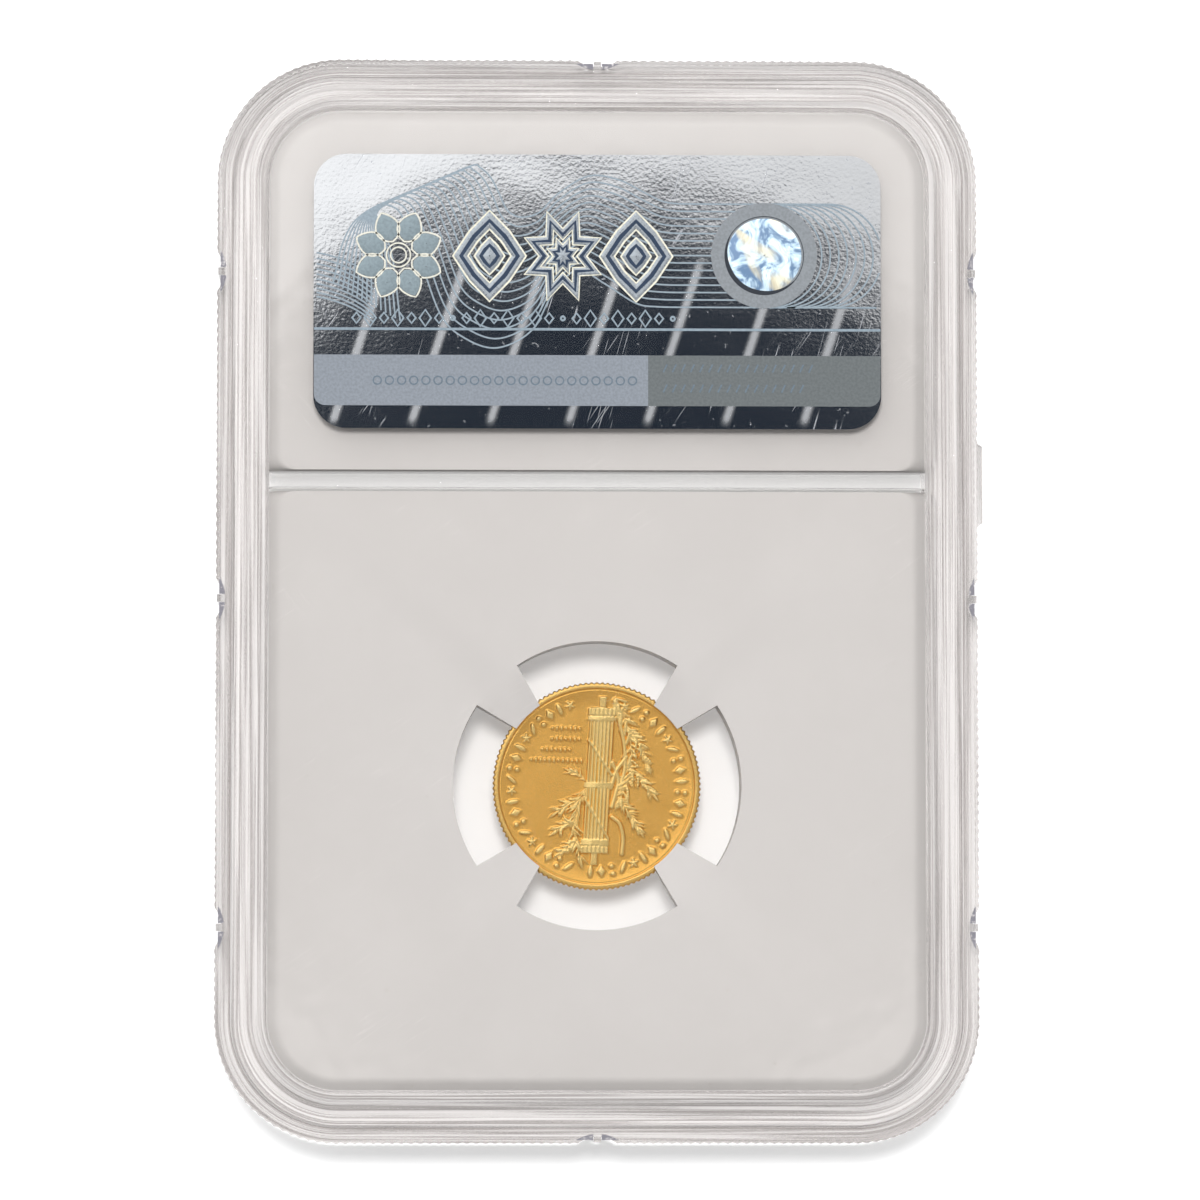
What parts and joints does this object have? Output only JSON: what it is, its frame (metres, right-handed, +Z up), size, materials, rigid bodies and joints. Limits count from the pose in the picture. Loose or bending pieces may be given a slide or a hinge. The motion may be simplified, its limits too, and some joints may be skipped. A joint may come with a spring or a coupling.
{
  "type": "graded coin holder",
  "caption": "Sealed clear two-shell holder with a reeded edge and raised stacking rims, showing a small gold coin held by prongs in a white insert below a label compartment.",
  "frame": {"origin": "middle of the holder's lowest face, below the centre of its outline", "axes": "+X across the holder, +Y along it from the coin towards the labels, +Z up through its thickness; it lies flat with the foil label and the coin's reverse facing +Z and the paper label facing -Z"},
  "size_m": [0.0607, 0.0856, 0.008],
  "materials": {
    "clear_plastic": "gloss",
    "white_insert": "matte",
    "coin_gold": "satin",
    "label_paper": "matte",
    "label_foil": "satin",
    "patch_foil": "polished"
  },
  "bodies": {
    "root": {"back_shell": "clear_plastic", "front_shell": "clear_plastic", "coin_insert": "white_insert", "coin": "coin_gold", "label_carrier": "white_insert", "grading_label": "label_paper", "hologram_label": "label_foil", "seal_patch": "patch_foil"}
  },
  "joints": []
}
